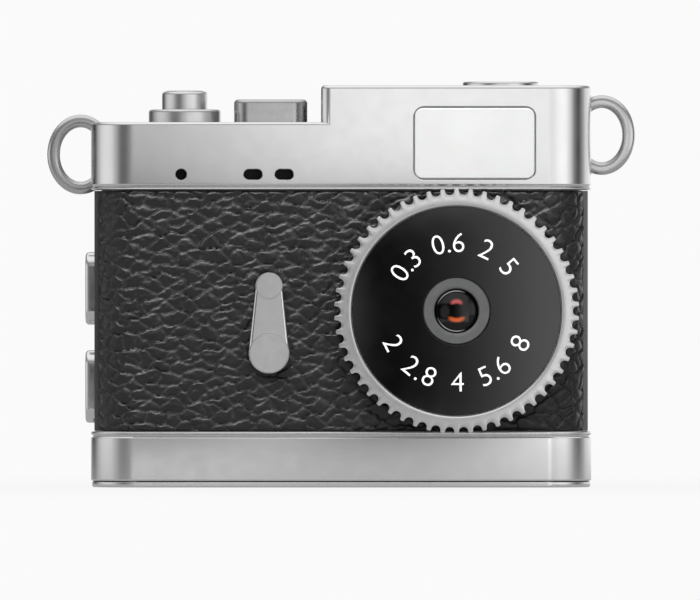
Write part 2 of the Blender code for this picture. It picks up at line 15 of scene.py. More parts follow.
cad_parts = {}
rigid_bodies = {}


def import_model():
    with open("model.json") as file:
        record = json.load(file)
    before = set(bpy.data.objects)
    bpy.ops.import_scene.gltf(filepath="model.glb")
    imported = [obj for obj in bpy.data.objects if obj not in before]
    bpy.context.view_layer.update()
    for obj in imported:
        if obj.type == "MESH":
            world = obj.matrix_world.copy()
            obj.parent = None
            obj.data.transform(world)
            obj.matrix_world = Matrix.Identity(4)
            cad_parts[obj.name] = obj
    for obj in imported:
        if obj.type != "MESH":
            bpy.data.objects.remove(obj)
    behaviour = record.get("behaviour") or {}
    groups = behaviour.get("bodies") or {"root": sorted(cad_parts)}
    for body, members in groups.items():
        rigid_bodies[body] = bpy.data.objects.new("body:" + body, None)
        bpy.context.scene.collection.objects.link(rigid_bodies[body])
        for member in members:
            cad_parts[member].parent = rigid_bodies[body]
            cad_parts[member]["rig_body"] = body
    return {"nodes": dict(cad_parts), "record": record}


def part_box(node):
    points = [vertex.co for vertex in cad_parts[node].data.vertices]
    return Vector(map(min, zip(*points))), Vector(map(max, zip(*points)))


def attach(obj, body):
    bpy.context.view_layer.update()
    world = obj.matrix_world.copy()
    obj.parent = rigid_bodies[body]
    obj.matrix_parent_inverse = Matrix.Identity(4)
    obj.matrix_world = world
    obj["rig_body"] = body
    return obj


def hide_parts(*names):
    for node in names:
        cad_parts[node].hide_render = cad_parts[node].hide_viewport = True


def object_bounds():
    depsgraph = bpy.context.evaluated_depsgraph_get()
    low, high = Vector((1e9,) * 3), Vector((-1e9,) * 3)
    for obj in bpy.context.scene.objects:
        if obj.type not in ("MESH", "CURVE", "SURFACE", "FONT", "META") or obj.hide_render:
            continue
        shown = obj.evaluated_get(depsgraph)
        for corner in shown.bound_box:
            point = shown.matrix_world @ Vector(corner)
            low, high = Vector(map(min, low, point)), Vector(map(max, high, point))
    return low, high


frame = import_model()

MM = 0.001
CAD_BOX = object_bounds()
BODY_OF = {node: ob["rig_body"] for node, ob in frame["nodes"].items()}
SLOT_OF = {part["node"]: part["material_slot"] for part in frame["record"]["subparts"]}


# ---------------------------------------------------------------- places from the frame


def span(node):
    """A CAD node's lowest and highest corners at rest."""
    low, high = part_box(node)
    return Vector(low) / MM, Vector(high) / MM


def middle(node):
    low, high = span(node)
    return (low + high) / 2


def size(node):
    low, high = span(node)
    return high - low


def from_front(node):
    """A node's middle as X and Z."""
    centre = middle(node)
    return centre.x, centre.z


# ---------------------------------------------------------------- materials


def grey(value):
    return (value, value, value)


class Nodes:
    """Adds shader nodes to a tree and joins them."""

    def __init__(self, tree):
        self.tree = tree

    def node(self, kind, settings=None, inputs=None):
        made = self.tree.nodes.new("ShaderNode" + kind)
        for name, value in (settings or {}).items():
            setattr(made, name, value)
        for name, value in (inputs or {}).items():
            self.feed(made.inputs[name], value)
        return made

    def feed(self, socket, value):
        if isinstance(value, bpy.types.NodeSocket):
            self.tree.links.new(value, socket)
        else:
            socket.default_value = value

    def maths(self, operation, *values, clamp=False):
        settings = {"operation": operation, "use_clamp": clamp}
        return self.node("Math", settings, dict(enumerate(values))).outputs[0]

    def vector(self, operation, *values):
        """The result of a vector operation, which is a number for LENGTH."""
        made = self.node("VectorMath", {"operation": operation}, dict(enumerate(values)))
        return made.outputs["Value" if operation == "LENGTH" else "Vector"]

    def split(self, vector):
        """A vector's X, Y and Z, by name."""
        return self.node("SeparateXYZ", inputs={0: vector}).outputs

    def between(self, factor, low, high, start=0.35, end=0.65, curve="LINEAR"):
        """A number that goes from low to high as factor goes from start to end."""
        made = self.node("MapRange", {"interpolation_type": curve}, {
            "Value": factor, "From Min": start, "From Max": end, "To Min": low, "To Max": high,
        })
        return made.outputs["Result"]

    def mix(self, factor, first, second):
        made = self.node("Mix", {"data_type": "RGBA"}, {"Factor": factor, 6: first, 7: second})
        return made.outputs[2]

    def ramp(self, factor, stops, curve="LINEAR"):
        """A grey that goes through (place, shade) stops, with places from 0 to 1."""
        made = self.node("ValToRGB", inputs={"Fac": factor})
        made.color_ramp.interpolation = curve
        elements = made.color_ramp.elements
        while len(elements) > 1:
            elements.remove(elements[-1])
        for index, (place, shade) in enumerate(stops):
            stop = elements[0] if index == 0 else elements.new(place)
            stop.position = place
            stop.color = (*grey(shade), 1)
        return made.outputs["Color"]

    def emission(self, colour, strength=1.0):
        return self.node("Emission", inputs={"Color": colour, "Strength": strength}).outputs[0]

    def mix_shader(self, factor, first, second):
        return self.node("MixShader", inputs={0: factor, 1: first, 2: second}).outputs[0]

    def for_camera(self, others, camera):
        """A shader for the camera's own rays, and another for all the rest."""
        return self.mix_shader(self.node("LightPath").outputs["Is Camera Ray"], others, camera)


class Finish(Nodes):
    """A Principled material and the nodes that vary it over a surface."""

    def __init__(self, name, colour, roughness, metallic=0.0, sockets=None):
        self.material = bpy.data.materials.new(name)
        self.material.use_nodes = True
        super().__init__(self.material.node_tree)
        self.shader = self.tree.nodes["Principled BSDF"]
        self.place = self.node("TexCoord").outputs["Object"]
        self.set("Base Color", (*colour, 1))
        self.set("Roughness", roughness)
        self.set("Metallic", metallic)
        for socket, value in (sockets or {}).items():
            self.set(socket, value)

    def set(self, socket, value):
        self.feed(self.shader.inputs[socket], value)

    def surface(self, shader):
        """Shows this shader in place of the Principled one."""
        self.feed(self.tree.nodes["Material Output"].inputs["Surface"], shader)

    def noise(self, grain, detail=3):
        """Noise whose features are about grain mm across."""
        scale = grey(1 / (MM * grain))
        place = self.node("Mapping", inputs={"Vector": self.place, "Scale": scale})
        made = self.node("TexNoise", inputs={"Vector": place.outputs[0], "Scale": 1, "Detail": detail})
        return made.outputs["Fac"]

    def tint(self, factor, dark, light):
        return self.mix(factor, (*dark, 1), (*light, 1))

    def mottle(self, grain, dark, light, detail=3):
        """Colour in patches about grain mm across."""
        self.set("Base Color", self.tint(self.noise(grain, detail), dark, light))

    def wear(self, grain, low, high):
        """Roughness in patches about grain mm across."""
        self.set("Roughness", self.between(self.noise(grain), low, high))

    def bump(self, height, depth, strength=1.0):
        """Bump whose full height is depth mm."""
        made = self.node("Bump", inputs={"Height": height, "Strength": strength, "Distance": depth * MM})
        self.set("Normal", made.outputs["Normal"])

    def from_place(self, place, scale):
        """How far the surface lies from a place, with each axis scaled."""
        return self.vector("MULTIPLY", self.vector("SUBTRACT", self.place, tuple(place)), scale)


def satin_plate():
    made = Finish("satin_plate", grey(0.6), 0.3, 1.0)
    made.mottle(9.0, (0.63, 0.63, 0.635), grey(0.68))
    made.wear(1.5, 0.2, 0.23)
    return made.material


def bright_plate():
    made = Finish("bright_plate", grey(0.75), 0.18, 1.0)
    made.mottle(4.0, (0.62, 0.62, 0.625), grey(0.68))
    made.wear(0.8, 0.19, 0.23)
    return made.material


def plate(name, shade, roughness):
    """Plating of another shade than the covers'."""
    made = Finish(name, grey(shade), roughness, 1.0)
    made.mottle(4.0, grey(shade * 0.97), grey(shade * 1.03))
    made.wear(0.8, roughness - 0.01, roughness + 0.02)
    return made.material


def turned_plate():
    """Metal turned on a lathe: fine rings about the lens axis show as a fan of reflections."""
    made = Finish("turned_plate", grey(0.72), 0.24, 1.0)
    centre = middle("toothed_ring")
    pitch = 0.07
    shift = made.node("Mapping", inputs={"Vector": made.place, "Location": tuple(-centre * MM)})
    parts = made.split(shift.outputs[0])
    flat = made.node("CombineXYZ", inputs={"X": parts["X"], "Y": parts["Z"]})
    ringed = made.node("CombineXYZ", inputs={"X": made.vector("LENGTH", flat.outputs[0])})
    grooves = made.node("TexNoise", inputs={"Vector": ringed.outputs[0], "Scale": 1 / (pitch * MM)})
    made.mottle(5.0, (0.58, 0.58, 0.585), grey(0.65))
    made.wear(0.8, 0.3, 0.36)
    made.bump(grooves.outputs["Fac"], 0.001, 0.3)
    return made.material


def leatherette():
    made = Finish("leatherette", (0.014, 0.014, 0.015), 0.42, sockets={"Specular IOR Level": 0.44})
    crease = made.node("Attribute", {"attribute_name": "crease"}).outputs["Fac"]
    # Painted shade: the base colour darkens towards black in the creases, on top of the shade that their
    # real depth casts.
    made.set("Base Color", made.tint(crease, (0.006, 0.006, 0.0062), grey(0.0005)))
    made.set("Roughness", made.between(crease, 0.3, 0.85, 0.0, 0.7))
    made.bump(made.noise(0.2), 0.02, 0.35)
    return made.material


def dial_black():
    made = Finish("dial_black", grey(0.003), 0.2, sockets={"Specular IOR Level": 0.75})
    made.wear(2.0, 0.12, 0.15)
    made.mottle(6.0, (0.0015, 0.0015, 0.0018), (0.0025, 0.0025, 0.003))
    return made.material


def numeral_white():
    made = Finish("numeral_white", grey(0.8), 0.5)
    made.mottle(0.4, (0.7, 0.7, 0.71), grey(0.82))
    return made.material


def charcoal():
    made = Finish("charcoal", (0.05, 0.05, 0.052), 0.55)
    made.mottle(0.5, (0.04, 0.041, 0.042), (0.065, 0.066, 0.068))
    made.wear(0.3, 0.45, 0.62)
    made.bump(made.noise(0.08, 2), 0.004, 0.5)
    return made.material


def frosted_window():
    sockets = {"Subsurface Weight": 0.2, "Subsurface Scale": 0.002}
    made = Finish("frosted_window", grey(0.9), 0.32, sockets=sockets)
    made.mottle(4.2, grey(0.45), grey(0.52), 1)
    made.wear(0.5, 0.3, 0.4)
    made.bump(made.noise(0.1, 2), 0.002, 0.3)
    return made.material


def coated_glass():
    """Dark glass over the sensor."""
    made = Finish("coated_glass", (0.006, 0.005, 0.005), 0.05, sockets={"Specular IOR Level": 0.3})
    made.wear(1.0, 0.04, 0.09)
    return made


def plastic(name, dark, light, roughness, grain=0.4):
    made = Finish(name, light, roughness)
    made.mottle(grain, dark, light)
    made.wear(grain / 2, roughness - 0.06, roughness + 0.08)
    made.bump(made.noise(grain / 3, 2), 0.004, 0.4)
    return made.material


def circuit_board():
    made = Finish("circuit_board", (0.02, 0.16, 0.07), 0.35)
    cells = made.node("Mapping", inputs={"Vector": made.place, "Scale": grey(600)})
    brick = made.node("TexBrick", inputs={"Vector": cells.outputs[0], "Scale": 1, "Mortar Size": 0.04})
    made.set("Base Color", made.tint(brick.outputs["Fac"], (0.015, 0.12, 0.05), (0.05, 0.25, 0.11)))
    made.wear(0.8, 0.3, 0.45)
    return made.material


def battery_foil():
    made = Finish("battery_foil", (0.5, 0.5, 0.52), 0.35, 0.7)
    made.mottle(3.0, (0.4, 0.41, 0.43), (0.55, 0.56, 0.58))
    made.bump(made.noise(1.2), 0.05, 0.4)
    return made.material


GLASS = coated_glass()
NUMERALS = numeral_white()
FINISHES = {
    "satin_plate": satin_plate(),
    "bright_plate": bright_plate(),
    "frosted_window": frosted_window(),
    "leatherette": leatherette(),
    "dial_black": dial_black(),
    "charcoal": charcoal(),
    "lens_glass": GLASS.material,
    "black_plastic": plastic("black_plastic", grey(0.014), (0.022, 0.022, 0.023), 0.45),
    "circuit_board": circuit_board(),
    "chip": plastic("chip", (0.02, 0.02, 0.022), (0.035, 0.035, 0.04), 0.5, 0.3),
    "battery_foil": battery_foil(),
    # recess_black is painted shade: near black for the inside of holes and slots.
    "recess_black": plastic("recess_black", grey(0.001), grey(0.003), 0.8),
    "lamp": plastic("lamp", (0.7, 0.7, 0.62), (0.85, 0.85, 0.78), 0.25, 0.6),
}


# ---------------------------------------------------------------- shapes


LEAST_RADIUS = 0.02


def at(axis, u, v, w):
    """The point whose place along axis is w. u and v are the other two, in X, Y, Z order."""
    return {"X": (w, u, v), "Y": (u, w, v), "Z": (u, v, w)}[axis]


def round_corner(centre, radius, quarter, steps):
    """Points round a quarter circle. Quarter 0 runs from +u to +v, and the others follow it."""
    turns = [math.pi / 2 * (quarter + step / steps) for step in range(steps + 1)]
    return [(centre[0] + radius * math.cos(t), centre[1] + radius * math.sin(t)) for t in turns]


def rounded(width, height, corner, centre=(0, 0), steps=12):
    """A rectangle with round corners. The result is a function of an inset."""

    def outline(inset=0.0):
        radius = max(corner - inset, LEAST_RADIUS)
        half_u = width / 2 - inset - radius
        half_v = height / 2 - inset - radius
        points = []
        for quarter, (su, sv) in enumerate(((1, 1), (-1, 1), (-1, -1), (1, -1))):
            corner_centre = (centre[0] + su * half_u, centre[1] + sv * half_v)
            points += round_corner(corner_centre, radius, quarter, steps)
        return points

    return outline


def disc(radius, centre=(0, 0), count=64):
    def outline(inset=0.0):
        turns = [math.tau * i / count for i in range(count)]
        reach = radius - inset
        return [(centre[0] + reach * math.cos(t), centre[1] + reach * math.sin(t)) for t in turns]

    return outline


def in_scene(name, data):
    ob = bpy.data.objects.new(name, data)
    bpy.context.scene.collection.objects.link(ob)
    return ob


def made_object(name, mesh):
    bmesh.ops.recalc_face_normals(mesh, faces=mesh.faces)
    data = bpy.data.meshes.new(name)
    mesh.to_mesh(data)
    mesh.free()
    return in_scene(name, data)


def bridge(mesh, low, high):
    """Faces between two equal rings of vertices."""
    for i in range(len(low)):
        j = (i + 1) % len(low)
        mesh.faces.new((low[i], low[j], high[j], high[i]))


def solid(rings, closed=False):
    """A solid through equal rings of points, capped at both ends, or closed round on itself."""
    mesh = bmesh.new()
    rows = [[mesh.verts.new(point) for point in ring] for ring in rings]
    pairs = list(zip(rows, rows[1:]))
    if closed:
        pairs.append((rows[-1], rows[0]))
    else:
        mesh.faces.new(rows[0])
        mesh.faces.new(rows[-1])
    for low, high in pairs:
        bridge(mesh, low, high)
    return made_object("shape", mesh)


def fillet(place, inset, radius, turn, steps=5):
    """Levels of a quarter round at the end of a block.

    The block ends at place. turn is -1 where it rises from there and 1 where it stops there.
    """
    levels = []
    for step in range(steps + 1):
        angle = math.pi / 2 * step / steps
        w = place - turn * radius * (1 - math.sin(angle))
        levels.append((w, inset + radius * (1 - math.cos(angle))))
    return levels[::-1] if turn < 0 else levels


def ends(low, high, round_low, round_high, inset=0.0):
    """Levels of a block from low to high with both of its rims rounded."""
    first = fillet(low, inset, round_low, -1) if round_low else [(low, inset)]
    last = fillet(high, inset, round_high, 1) if round_high else [(high, inset)]
    return first + last


def block(axis, outline, levels):
    """An outline carried along an axis. Each level is a place and an inset there."""
    return solid([[at(axis, u, v, w) for u, v in outline(inset)] for w, inset in levels])


def turned(axis, centre, profile, count=96):
    """A hollow turned piece: a closed profile of radius and place along the axis."""
    rings = [[at(axis, u, v, w) for u, v in disc(radius, centre, count)()] for radius, w in profile]
    return solid(rings, closed=True)


def eased(profile, radius, steps=4, keep=()):
    """A closed profile with its corners rounded by up to the radius, apart from those kept."""
    result = []
    count = len(profile)
    for i, corner in enumerate(profile):
        here = Vector(corner)
        before = Vector(profile[i - 1]) - here
        after = Vector(profile[(i + 1) % count]) - here
        reach = min(radius, before.length * 0.45, after.length * 0.45)
        if i in keep or reach < 0.01:
            result.append(tuple(here))
            continue
        start = here + before.normalized() * reach
        end = here + after.normalized() * reach
        for step in range(steps + 1):
            t = step / steps
            point = start * (1 - t) ** 2 + here * (2 * t * (1 - t)) + end * t ** 2
            result.append(tuple(point))
    return result


def carve(target, *tools, operation="DIFFERENCE"):
    """Applies Booleans to the target's mesh, and removes the tools."""
    for tool in tools:
        change = target.modifiers.new("carve", "BOOLEAN")
        change.operation = operation
        change.object = tool
        change.solver = "EXACT"
    seen = bpy.context.evaluated_depsgraph_get()
    carved = bpy.data.meshes.new_from_object(target.evaluated_get(seen))
    target.modifiers.clear()
    target.data = carved
    for tool in tools:
        bpy.data.objects.remove(tool)
    return target


def piece(ob, *nodes, finish=None, name=None, sharp=32):
    """Turns a shape in millimetres into the piece that stands for these CAD nodes."""
    ob.name = name or f"detailed_{nodes[0]}"
    ob.data.name = ob.name
    ob.data.transform(Matrix.Scale(MM, 4))
    ob.data.shade_smooth()
    ob.data.set_sharp_from_angle(angle=math.radians(sharp))
    weighted = ob.modifiers.new("weighted_normals", "WEIGHTED_NORMAL")
    weighted.keep_sharp = True
    ob.data.materials.clear()
    ob.data.materials.append(finish or FINISHES[SLOT_OF[nodes[0]]])
    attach(ob, BODY_OF[nodes[0]])
    if name is None:
        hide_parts(*nodes)
    return ob


def flared(axis, outline, mouth, inner, chamfer):
    """A cutter whose hole opens wider at its mouth. inner is its other end."""
    if mouth < inner:
        levels = [(mouth - 0.5, -chamfer - 0.5), (mouth + chamfer, 0), (inner, 0)]
    else:
        levels = [(inner, 0), (mouth - chamfer, 0), (mouth + 0.5, -chamfer - 0.5)]
    return block(axis, outline, levels)


# ---------------------------------------------------------------- covers

COVER_CORNER = 4.0
FRAME_CORNER = 3.0
FRAME_ROOM = (43.1, 13.0)
SHOULDER_TOP = 32.8
HOUSING_LEFT = -1.8
HOUSING_CORNER = 0.9
ROOF = 0.9
SHOULDER_FLANGE = 31.7
POWER_FLANGE = (34.3, 34.8)
SIDE_FLANGE = -20.33
WINDOW_FLANGE = -6.43
FLANGE = 0.4
WINDOW_PLACE = (12.0, 30.9)
LOOP_WIDTH = 3.0
LOOP_BAND = 1.15
LOOP_THICK = 1.2
SCREWS = tuple(f"base_screw_{number}" for number in range(1, 5))
COVER_SIZE = size("bottom_cover")
COVER_FACE = COVER_SIZE.y / 2


def room(low, high):
    """The space that the covers leave for the frame."""
    outline = rounded(*FRAME_ROOM, FRAME_CORNER + 0.05)
    return block("Z", outline, [(low, 0), (high, 0)])


def base_plate():
    low, high = span("base_plate")
    outline = rounded(COVER_SIZE.x - 0.2, COVER_SIZE.y - 0.2, COVER_CORNER - 0.1)
    plate = block("Z", outline, ends(low.z, high.z, 0.15, 0.06))
    tools = []
    for screw in SCREWS:
        place = middle(screw)
        levels = [(-0.5, -0.62), (0.12, 0), (0.35, 0), (0.35, 0.55), (1, 0.55)]
        tools.append(block("Z", disc(1.15, place[:2]), levels))
    piece(carve(plate, *tools), "base_plate")


def base_screws():
    for screw in SCREWS:
        low, high = span(screw)
        centre = middle(screw)[:2]
        head = size(screw).x / 2
        shank = head - 0.5
        levels = fillet(low.z, 0, 0.09, -1)
        levels += [(0.3, 0), (0.3, shank), (high.z - 0.4, shank), (high.z, head - 0.2)]
        shape = block("Z", disc(head, centre, 48), levels)
        slots = [rounded(1.25, 0.28, 0.06, centre, 3), rounded(0.28, 1.25, 0.06, centre, 3)]
        tools = [block("Z", slot, [(low.z - 0.2, 0), (low.z + 0.2, 0)]) for slot in slots]
        piece(carve(shape, *tools), screw)


def bottom_cover():
    low, high = span("bottom_cover")
    outline = rounded(COVER_SIZE.x, COVER_SIZE.y, COVER_CORNER, steps=20)
    levels = fillet(low.z, 0, 0.16, -1)
    levels += [(high.z - 0.6, 0), (high.z - 0.54, 0.03), (high.z - 0.44, 0.15), (high.z - 0.38, 0.17)]
    levels += [(high.z - 0.31, 0.14), (high.z - 0.24, 0.02), (high.z - 0.2, 0.0)]
    levels += fillet(high.z, 0, 0.09, 1, 3)
    cover = block("Z", outline, levels)
    tools = [room(1.4, high.z + 1)]
    tools += [block("Z", disc(0.6, middle(screw)[:2], 32), [(0, 0), (2, 0)]) for screw in SCREWS]
    piece(carve(cover, *tools), "bottom_cover")


def cover_profile(low, high, top_round):
    """Levels of the top cover: a rolled lip at its lower edge and a rounded rim at its top."""
    lip = [(low, 0.1), (low + 0.03, 0.03), (low + 0.08, 0.0), (low + 0.13, 0.02), (low + 0.2, 0.12)]
    lip += [(low + 0.26, 0.16), (low + 0.36, 0.1), (low + 0.46, 0.02), (low + 0.52, 0.0)]
    return lip + fillet(high, 0, top_round, 1)


def housing_outline(inset=0.0):
    """The raised housing: small corners beside the shoulder and the cover's own at the other end."""
    right = COVER_SIZE.x / 2
    corners = (
        (right, 1, 1, COVER_CORNER), (HOUSING_LEFT, -1, 1, HOUSING_CORNER),
        (HOUSING_LEFT, -1, -1, HOUSING_CORNER), (right, 1, -1, COVER_CORNER),
    )
    points = []
    for quarter, (edge, side_x, side_y, corner) in enumerate(corners):
        radius = max(corner - inset, LEAST_RADIUS)
        centre = (edge - side_x * (inset + radius), side_y * (COVER_FACE - inset - radius))
        points += round_corner(centre, radius, quarter, 20)
    return points


def loop_solid(side, grow, steps, easing):
    """A strap loop: a band swept round an ellipse and open where its legs end in the wall.

    grow thickens the band and lengthens the legs, for the seat that the loop is let into.
    """
    node = f"strap_loop_{side}"
    low, high = span(node)
    sign = -1 if side == "left" else 1
    outer = max(abs(low.x), abs(high.x))
    inner = min(abs(low.x), abs(high.x)) - 2 * grow
    band = LOOP_BAND / 2 + grow
    thick = LOOP_THICK / 2 + grow
    section = eased([(band, thick), (-band, thick), (-band, -thick), (band, -thick)], easing)
    centre_x = outer - LOOP_WIDTH
    centre_z = middle(node).z
    reach_x = LOOP_WIDTH - LOOP_BAND / 2
    reach_z = (high.z - low.z) / 2 - LOOP_BAND / 2
    first = math.acos(max(-1.0, (inner - centre_x) / reach_x))
    rings = []
    for step in range(steps + 1):
        angle = -first + 2 * first * step / steps
        ring = []
        for out, y in section:
            x = centre_x + reach_x * math.cos(angle) + out * math.cos(angle)
            z = centre_z + reach_z * math.sin(angle) + out * math.sin(angle)
            ring.append((sign * x, y, z))
        rings.append(ring)
    return solid(rings)


def strap_loops():
    finish = plate("loop_plate", 0.52, 0.27)
    for side in ("left", "right"):
        piece(loop_solid(side, 0.0, 120, 0.48), f"strap_loop_{side}", finish=finish)


def top_cover():
    low, high = span("top_cover")
    outline = rounded(COVER_SIZE.x, COVER_SIZE.y, COVER_CORNER, steps=20)
    cover = block("Z", outline, cover_profile(low.z, SHOULDER_TOP, 0.3))
    levels = [(SHOULDER_TOP - 1, 0)] + fillet(high.z, 0, 0.32, 1)
    carve(cover, block("Z", housing_outline, levels), operation="UNION")
    power = disc(3.53, middle("power_button"), 96)
    mode = rounded(6.76, 4.56, 1.38, middle("mode_button"))
    shutter = disc(2.13, middle("shutter_button"))
    microphone = disc(0.5, from_front("microphone"), 48)
    window = rounded(10.96, 6.56, 0.95, WINDOW_PLACE)
    housing_left = HOUSING_LEFT + ROOF
    housing_right = 21.5
    housing = rounded(housing_right - housing_left, 12.9, 3.0, ((housing_left + housing_right) / 2, 0))
    tools = [
        room(low.z - 1, SHOULDER_TOP - ROOF),
        block("Z", housing, [(31, 0), (high.z - ROOF, 0)]),
        flared("Z", shutter, SHOULDER_TOP, 31, 0.06),
        flared("Z", mode, SHOULDER_TOP, 31, 0.1),
        flared("Z", power, high.z, 34.6, 0.08),
        flared("Y", microphone, -COVER_FACE, -5, 0.06),
        flared("Y", window, -COVER_FACE, -5, 0.07),
    ]
    for side in ("left", "right"):
        place = middle(f"indicator_lamp_{side}")
        slot = rounded(1.67, 0.95, 0.47, (place.x, middle("microphone").z), 10)
        tools.append(flared("Y", slot, -COVER_FACE, -5, 0.06))
        tools.append(loop_solid(side, 0.05, 60, 0.3))
    piece(carve(cover, *tools), "top_cover")


def light_window():
    low, high = span("light_window")
    outline = rounded(10.8, 6.4, 0.75, WINDOW_PLACE)
    levels = fillet(low.y, 0, 0.16, -1)
    levels += [(WINDOW_FLANGE, 0), (WINDOW_FLANGE, -FLANGE), (high.y, -FLANGE)]
    pane = block("Y", outline, levels)
    trim = block("Z", lambda inset=0: [(0, -8), (25, -8), (25, -4), (0, -4)], [(26, 0), (low.z, 0)])
    piece(carve(pane, trim), "light_window")


def top_buttons():
    low, high = span("shutter_collar")
    centre = middle("shutter_collar")[:2]
    outer = size("shutter_collar").x / 2
    profile = [(2.2, low.z), (2.2, high.z), (outer, high.z), (outer, low.z)]
    finish = plate("turned_button", 0.6, 0.3)
    piece(turned("Z", centre, eased(profile, 0.3, 5, keep=(0, 3))), "shutter_collar", finish=finish)
    low, high = span("shutter_button")
    levels = [(low.z, -0.55), (SHOULDER_FLANGE, -0.55), (SHOULDER_FLANGE, 0)]
    levels += fillet(high.z - 0.08, 0, 0.3, 1)
    dish = ((0.02, 0.42), (0, 0.55), (0.03, 0.8), (0.12, 1.3), (0.15, 1.8))
    levels += [(high.z - drop, inset) for drop, inset in dish]
    piece(block("Z", disc(2.05, centre), levels), "shutter_button", finish=finish)
    low, high = span("mode_button")
    centre = middle("mode_button")[:2]
    levels = [(low.z, -0.5), (SHOULDER_FLANGE, -0.5), (SHOULDER_FLANGE, 0)]
    levels += fillet(high.z, 0, 0.36, 1, 6)
    shape = block("Z", rounded(6.6, 4.4, 1.3, centre), levels)
    piece(shape, "mode_button", finish=plate("button_plate", 0.45, 0.26))
    low, high = span("power_button")
    centre = middle("power_button")[:2]
    under, over = POWER_FLANGE
    levels = [(low.z, 2.4), (under, 2.4), (under, -FLANGE), (over, -FLANGE), (over, 0)]
    levels += fillet(high.z, 0, 0.18, 1)
    levels += [(high.z, 0.75), (high.z - 0.08, 0.85), (high.z - 0.08, 0.95), (high.z, 1.05)]
    piece(block("Z", disc(3.45, centre, 96), levels), "power_button")


def side_buttons():
    for side in ("upper", "lower"):
        node = f"side_button_{side}"
        low, high = span(node)
        outline = rounded(2.6, 6.55, 1.3, (0, middle(node).z), 16)
        levels = fillet(low.x, 0, 0.34, -1, 6)
        levels += [(SIDE_FLANGE, 0), (SIDE_FLANGE, -FLANGE), (high.x, -FLANGE)]
        piece(block("X", outline, levels), node)


# ---------------------------------------------------------------- leather

GRAIN_STEP = 0.105
LEATHER_CORNER = 3.45
LEATHER_THICK = 0.42
DEEPEST = 0.37


class Cells:
    """Diamond cells on a jittered lattice, measured from their edges."""

    def __init__(self, width, height, jitter, seed):
        self.width = width
        self.height = height
        self.table = (np.random.default_rng(seed).random((64, 64, 2)) - 0.5) * 2 * jitter
        self.level = np.random.default_rng(seed + 1).random((64, 64))

    def edge_distance(self, u, v):
        """Distance to the nearest cell edge, the cell's own random number, and the place in the cell."""
        p = u / self.width + v / self.height
        q = u / self.width - v / self.height
        base_p = np.floor(p).astype(int)
        base_q = np.floor(q).astype(int)
        seeds = []
        for i in (-2, -1, 0, 1, 2):
            for j in (-2, -1, 0, 1, 2):
                cell_p = base_p + i
                cell_q = base_q + j
                shift = self.table[cell_p % 64, cell_q % 64]
                sp = cell_p + 0.5 + shift[..., 0]
                sq = cell_q + 0.5 + shift[..., 1]
                level = self.level[cell_p % 64, cell_q % 64]
                seeds.append((sp, sq, (sp - p) ** 2 + (sq - q) ** 2, level))
        columns = [np.stack(column) for column in zip(*seeds)]
        order = np.argmin(columns[2], axis=0)[None]
        near_p, near_q, least, level = (np.take_along_axis(c, order, 0)[0] for c in columns)
        edge = np.full(u.shape, 9.0)
        for sp, sq, distance, _ in seeds:
            gap = np.hypot(sp - near_p, sq - near_q)
            apart = gap > 1e-6
            value = (distance - least) / (2 * np.where(apart, gap, 1))
            edge = np.where(apart, np.minimum(edge, value), edge)
        across = self.width * self.height / math.hypot(self.width, self.height)
        away_u = (p - near_p + q - near_q) * self.width / 2
        away_v = (p - near_p - q + near_q) * self.height / 2
        return edge * across, level, away_u, away_v


def ripple(u, v, length, seed, waves=7):
    """Smooth noise from -1 to 1 with features about that long."""
    rng = np.random.default_rng(seed)
    total = np.zeros_like(u)
    for _ in range(waves):
        turn = rng.uniform(0, math.tau)
        pitch = length * rng.uniform(0.7, 1.6)
        way = u * math.cos(turn) + v * math.sin(turn)
        total += np.sin(math.tau * way / pitch + rng.uniform(0, math.tau))
    return total / waves ** 0.5 / 1.5


def groove(edge, width, power=1.4):
    return np.clip(1 - edge / width, 0, 1) ** power


def grain_depth(u, v, seed):
    """How far the leather sinks at each place in mm, and how much of that is crease."""
    warp_u = u + 0.32 * ripple(u, v, 2.6, seed) + 0.1 * ripple(u, v, 0.9, seed + 1)
    warp_v = v + 0.24 * ripple(u, v, 2.2, seed + 2) + 0.08 * ripple(u, v, 0.8, seed + 3)
    tilt = math.radians(4)
    turned_u = warp_u * math.cos(tilt) + warp_v * math.sin(tilt)
    turned_v = warp_v * math.cos(tilt) - warp_u * math.sin(tilt)
    edge, level, away_u, away_v = Cells(2.35, 1.45, 0.34, seed + 4).edge_distance(turned_u, turned_v)
    fine = Cells(1.15, 0.7, 0.36, seed + 5)
    fine_edge, _, fine_u, fine_v = fine.edge_distance(turned_v * 0.7 + turned_u, turned_v)
    fade = np.clip(0.75 + 0.5 * ripple(u, v, 3.1, seed + 6), 0.3, 1)
    fine_fade = np.clip(0.35 + 0.8 * ripple(u, v, 1.9, seed + 7), 0, 1)
    crease = groove(edge, 0.15) * fade
    fine_crease = groove(fine_edge, 0.1) * fine_fade
    pillow = groove(edge, 0.7, 2.0)
    shingle = 0.14 * away_u - 0.95 * away_v
    fine_shingle = 0.1 * fine_u - 0.9 * fine_v
    depth = 0.1 + 0.2 * shingle * fade + 0.1 * fine_shingle * fine_fade
    depth += 0.06 * crease + 0.1 * pillow + 0.03 * fine_crease + 0.02 * level
    depth += 0.012 * (1 + ripple(u, v, 0.55, seed + 8))
    return np.clip(depth, 0, 0.36), np.clip(crease + 0.35 * fine_crease, 0, 1)


